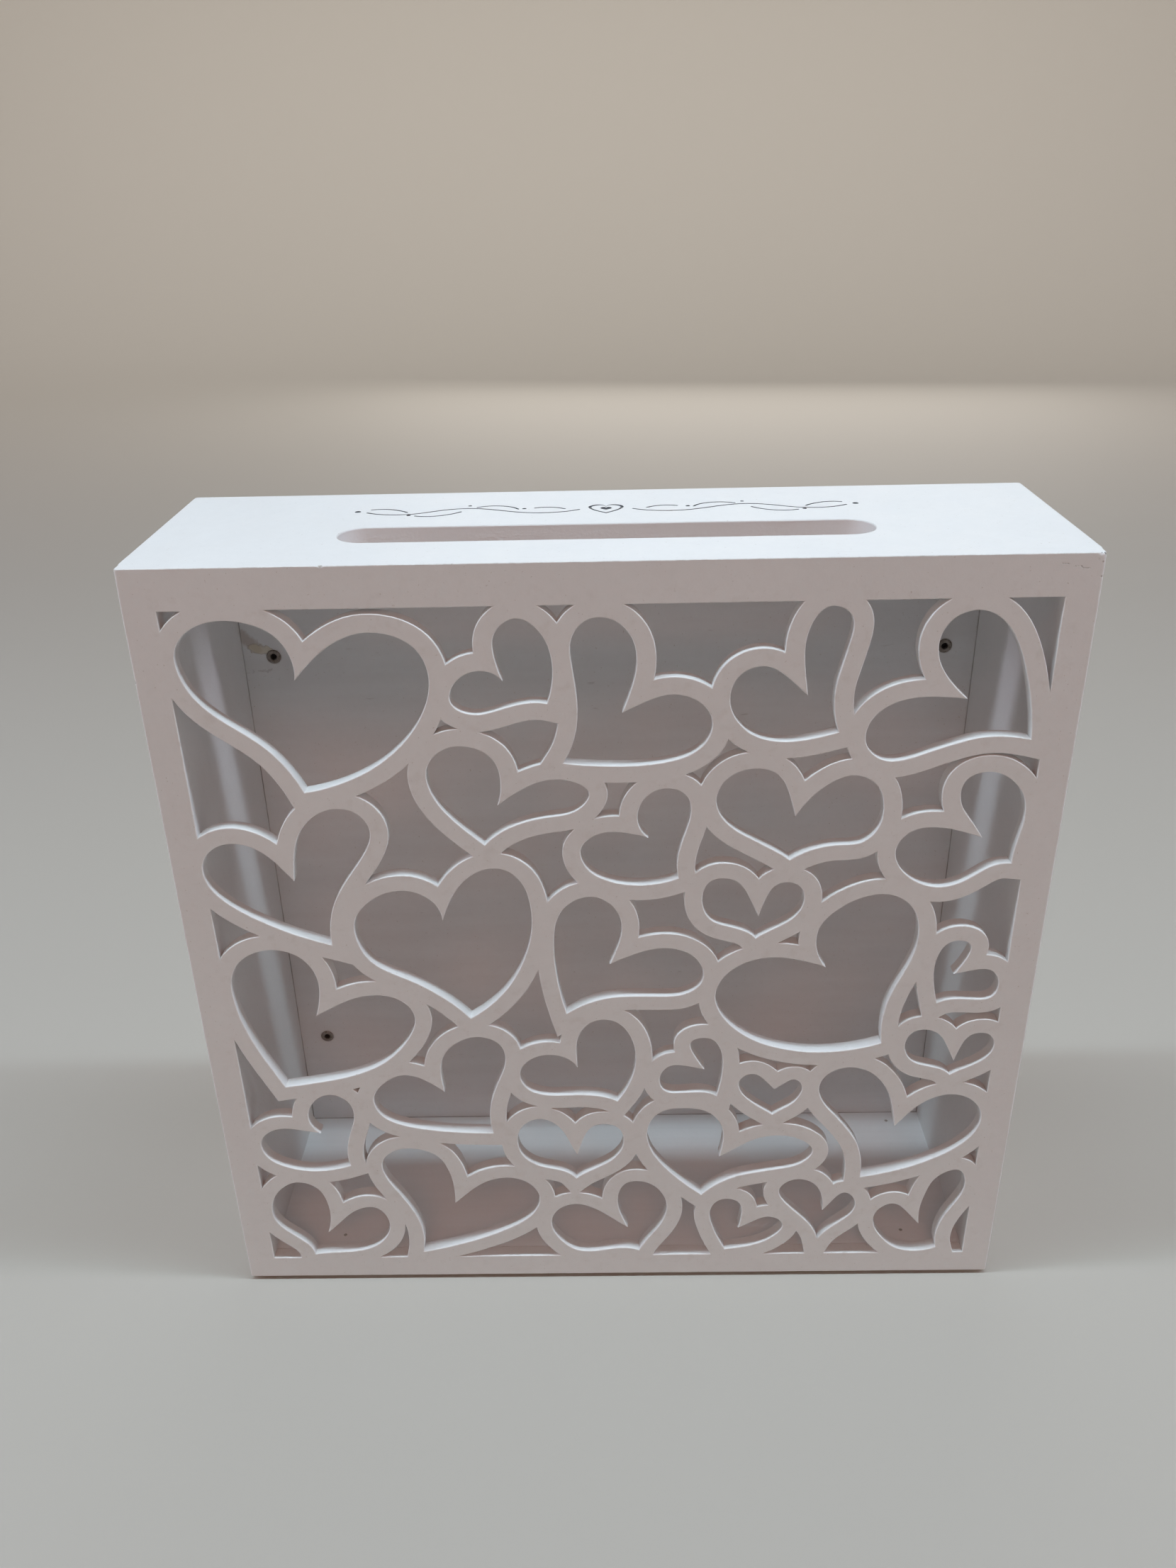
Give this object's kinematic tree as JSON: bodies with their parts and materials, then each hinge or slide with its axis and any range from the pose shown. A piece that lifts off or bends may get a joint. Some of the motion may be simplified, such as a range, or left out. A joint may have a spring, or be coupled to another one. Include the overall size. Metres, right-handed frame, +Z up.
{
  "type": "wedding card box",
  "caption": "Shallow white painted box with a fretted front of heart cut-outs, a posting slot in its top and a loose back panel held by turn-buttons.",
  "frame": {"origin": "middle of the box on the surface it stands on, under its glides", "axes": "+Z up, +Y to the back panel, +X to the right of somebody facing the fretted front, which faces -Y"},
  "size_m": [0.305, 0.09, 0.3056],
  "materials": {
    "painted_mdf": "satin white paint over MDF",
    "painted_panel": "matt white paint over thin board",
    "button_steel": "nickel plated steel strip",
    "rivet_steel": "dull plated steel",
    "glide_plastic": "moulded nylon",
    "nail_steel": "plain wire"
  },
  "bodies": {
    "carcass": {"front_lattice": "painted_mdf", "top_board": "painted_mdf", "bottom_board": "painted_mdf", "left_side_board": "painted_mdf", "right_side_board": "painted_mdf", "glide_front_left": "glide_plastic", "glide_front_right": "glide_plastic", "glide_back_left": "glide_plastic", "glide_back_right": "glide_plastic", "glide_nail_front_left": "nail_steel", "glide_nail_front_right": "nail_steel", "glide_nail_back_left": "nail_steel", "glide_nail_back_right": "nail_steel"},
    "back_cover": {"back_panel": "painted_panel", "rivet_upper_left": "rivet_steel", "rivet_upper_right": "rivet_steel", "rivet_lower_left": "rivet_steel", "rivet_lower_right": "rivet_steel"},
    "turn_button_upper_left": {"turn_button_upper_left": "button_steel"},
    "turn_button_upper_right": {"turn_button_upper_right": "button_steel"},
    "turn_button_lower_left": {"turn_button_lower_left": "button_steel"},
    "turn_button_lower_right": {"turn_button_lower_right": "button_steel"}
  },
  "joints": [
    {"name": "back_panel_slide", "type": "slide", "parent": "carcass", "child": "back_cover", "axis": [0, 1, 0], "range_m": [0, 0.12]},
    {"name": "turn_button_upper_left_swing", "type": "hinge", "parent": "back_cover", "child": "turn_button_upper_left", "pos_m": [-0.13, 0.0423, 0.2446], "axis": [0, 1, 0], "range_deg": [0, 90]},
    {"name": "turn_button_upper_right_swing", "type": "hinge", "parent": "back_cover", "child": "turn_button_upper_right", "pos_m": [0.13, 0.0423, 0.2446], "axis": [0, -1, 0], "range_deg": [0, 90]},
    {"name": "turn_button_lower_left_swing", "type": "hinge", "parent": "back_cover", "child": "turn_button_lower_left", "pos_m": [-0.13, 0.0423, 0.0606], "axis": [0, 1, 0], "range_deg": [0, 90]},
    {"name": "turn_button_lower_right_swing", "type": "hinge", "parent": "back_cover", "child": "turn_button_lower_right", "pos_m": [0.13, 0.0423, 0.0606], "axis": [0, -1, 0], "range_deg": [0, 90]}
  ]
}
